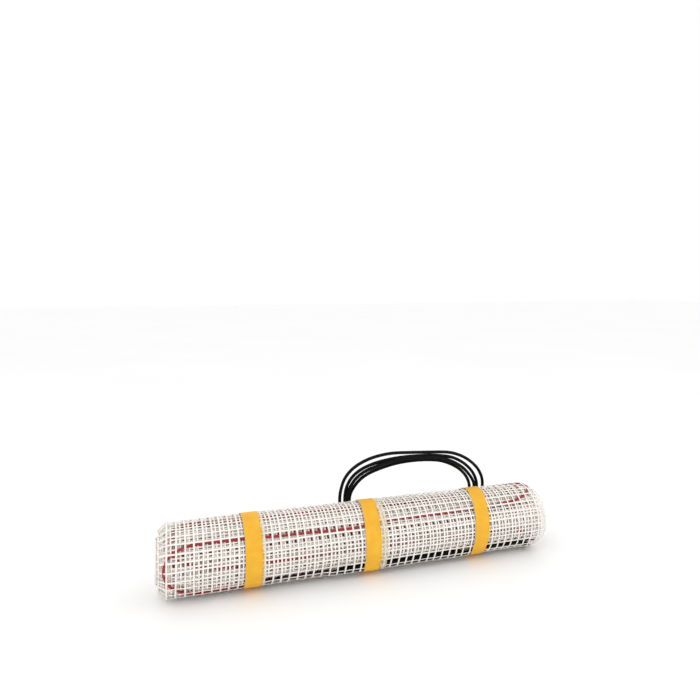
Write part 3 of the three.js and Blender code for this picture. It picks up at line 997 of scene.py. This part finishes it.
def band(name, centre, width, thickness, lift, material, print_mm, rim_sway, slant):
    """A closed strip once round the roll and on over its own start."""
    phi = np.linspace(TAPE_LAP[0] - 360, TAPE_LAP[1], BAND_STEPS)
    grid_phi, grid_t = np.meshgrid(phi, np.linspace(-0.5, 0.5, BAND_ROWS), indexing="ij")
    angle = np.radians(grid_phi)
    lap = smooth((grid_phi - (TAPE_LAP[0] - LAP_RISES)) / LAP_RISE_OVER)
    sway = rim_sway * (np.sin(angle * 3 + centre) + 0.5 * np.sin(angle * 11 + centre * 2))
    s = centre + grid_t * width + sway
    s = s + slant[0] * np.sin(angle) + slant[1] * (1 - np.cos(angle))
    radius = MESH_OUTER + lift + lap * (thickness + LAP_GAP)
    squares = np.cos(2 * np.pi * s / SQUARE) + np.cos(2 * np.pi * angle * MESH_OUTER / SQUARE)
    radius = radius + print_mm * squares / 2 + TAPE_SWAY_OUT * ripple(s, grid_phi, 1)
    radius = radius + np.where(grid_phi < PULLED_TO, sag_at(s, grid_phi), 0)
    layers = []
    for r in (radius, radius - thickness):
        layer = np.stack([s - MAT_WIDTH / 2, -r * np.cos(angle), AXIS_HEIGHT + r * np.sin(angle)], -1)
        layers.append(layer.reshape(-1, 3))
    vertices = np.concatenate(layers) * MM
    faces = band_faces()
    flat = vertices[faces.ravel()]
    uvs = np.stack([flat[:, 0], flat[:, 1] + flat[:, 2]], -1)
    return add_mesh(name, vertices, faces.tolist(), uvs, material)


def span(cad_node):
    """The middle and the width of a CAD node, in millimetres along the roll from its left edge."""
    low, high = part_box(cad_node)
    return (low.x + high.x) / 2 / MM + MAT_WIDTH / 2, (high.x - low.x) / MM


SLANTS = {"left": (0.0, 0.4), "middle": (0.7, 3.9), "right": (3.6, 5.4)}
for side in ("left", "middle", "right"):
    centre, width = span(f"tape_band_{side}")
    tape = band(
        f"tape_{side}", centre, width, thickness=0.3, lift=0.65, material=tape_paper,
        print_mm=0.06, rim_sway=0.25, slant=SLANTS[side],
    )
    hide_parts(f"tape_band_{side}")
    print(tape.name, f"at {centre:.0f} mm")

for side in ("left", "middle"):
    centre, width = span(f"clear_strip_{side}")
    film = band(
        f"clear_film_{side}", centre - FILM_ASIDE, width, thickness=0.12, lift=0.4, material=clear_film,
        print_mm=0.1, rim_sway=0.35, slant=SLANTS[side],
    )
    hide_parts(f"clear_strip_{side}")
    print(film.name, f"at {centre:.0f} mm")

# %% [markdown]
# The free end of the lead is stripped, as it comes from the factory: two insulated cores and a bare braid
# stand out of the sheath, and each core shows a few millimetres of copper.

# %% The stripped end
CORE_REACH = 24
CORE_DIAMETER = 1.9
COPPER_DIAMETER = 1.1
BRAID_REACH = 27
BRAID_DIAMETER = 1.5
BEND_ASIDE = 1.3
end_direction = unit(lead_line[-1] - lead_line[-6])
end_point = lead_line[-1]


def core_path(aside_y, aside_z, reach):
    """A core starts inside the sheath, at a negative share of its reach, and bends aside more and more."""
    points = []
    for share in (-0.12, 0.1, 0.4, 0.7, 1.0):
        # A negative number has a complex power here, and its real part does for a start out of sight.
        bend = (share ** BEND_ASIDE).real
        points.append(end_point + end_direction * (share * reach) + np.array([0, aside_y, aside_z]) * bend)
    return points


stripped = []
for name, aside, material in (
    ("brown_core", (1.5, 3.5), brown_core), ("blue_core", (3.0, -2.0), blue_core),
):
    core, core_line, _ = add_cord(name, core_path(*aside, CORE_REACH), CORE_DIAMETER, 1.5, 10, material)
    tip_direction = unit(core_line[-1] - core_line[-3])
    tip_points = [core_line[-1] + tip_direction * t for t in (-1.5, 1.5, 4, 7)]
    tip, _, _ = add_cord(name + "_copper", tip_points, COPPER_DIAMETER, 1.0, 8, copper)
    stripped += [core, tip]
braid, _, _ = add_cord("earth_braid", core_path(-2.0, 0.5, BRAID_REACH), BRAID_DIAMETER, 1.5, 8, copper)
stripped.append(braid)
print(len(stripped), "pieces at the stripped end")

# %% [markdown]
# A plain nylon tie holds the bundle at the bottom of the coil. It is a flat strap whose outline hugs the
# strands as a rounded square. Its head would be out of sight behind the coil and isn't built.

# %% The coil tie
TIE_ACROSS = 20.0
TIE_WIDTH = 4.6
TIE_THICKNESS = 1.0
TIE_MIDDLE = 4.55
TIE_REACH = 5.3


def tie_loop():
    """The strap's middle line round the bundle, and its outward directions."""
    points, directions = [], []
    for angle in np.linspace(0, 2 * np.pi, 49)[:-1]:
        c, s = math.cos(angle), math.sin(angle)
        reach = (abs(c) ** 4 + abs(s) ** 4) ** -0.25
        up, back = TIE_MIDDLE + TIE_REACH * reach * s, TIE_REACH * reach * c
        points.append(on_coil(TIE_ACROSS, up, back))
        directions.append(np.array(on_coil(0, s, c)) - np.array(on_coil(0, 0, 0)))
    points.append(points[0])
    directions.append(directions[0])
    return np.array(points), unit(np.array(directions))


strap_corners = np.array([(-0.5, -0.5), (0.5, -0.5), (0.5, 0.5), (-0.5, 0.5)])
tie = sweep("nylon_tie", [tie_loop()], strap_corners * (TIE_WIDTH, TIE_THICKNESS), black_nylon)
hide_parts("coil_tie")
print("tie round the coil's lower side")

# %% [markdown]
# The set is a plain pale floor under soft light: one broad lamp above and to the left, a weaker one from
# the right to open the shadows, and a bright even surround, as in a product photograph on white.

# %% Floor and light
CLOUD_MM = 500
LAMP_AIM = (0, 0, 0.04)


def make_floor():
    bpy.ops.mesh.primitive_grid_add(x_subdivisions=8, y_subdivisions=8, size=16)
    floor = bpy.context.object
    floor.name = "floor"
    material, tree, shader = new_material("pale_floor", Roughness=0.7)
    where = node(tree, "ShaderNodeTexCoord").outputs["Object"]
    cloud = node(tree, "ShaderNodeTexNoise", Vector=where, Scale=1 / (CLOUD_MM * MM))
    tint = node(
        tree, "ShaderNodeValToRGB", Fac=cloud.outputs["Fac"], stops=[(0.3, "#FBFBFB"), (0.7, "#FDFDFD")]
    )
    feed(tree, shader, Base_Color=tint.outputs["Color"])
    floor.data.materials.append(material)


def add_lamp(name, place_m, aim, size, watts):
    data = bpy.data.lights.new(name, "AREA")
    data.shape = "DISK"
    data.size = size
    data.energy = watts
    lamp = bpy.data.objects.new(name, data)
    bpy.context.scene.collection.objects.link(lamp)
    lamp.location = place_m
    lamp.rotation_euler = (Vector(aim) - Vector(place_m)).to_track_quat("-Z", "Y").to_euler()


make_floor()
add_lamp("key_lamp", (-0.9, -1.0, 1.6), LAMP_AIM, 1.1, 5)
add_lamp("fill_lamp", (1.5, -0.9, 1.0), LAMP_AIM, 1.2, 2.5)
bpy.context.scene.view_settings.view_transform = "Standard"
world = bpy.data.worlds.new("studio")
bpy.context.scene.world = world
world.use_nodes = True
surround = world.node_tree.nodes["Background"]
surround.inputs["Color"].default_value = (1, 1, 1, 1)
surround.inputs["Strength"].default_value = 1.0
print("floor, two lamps and a bright surround")
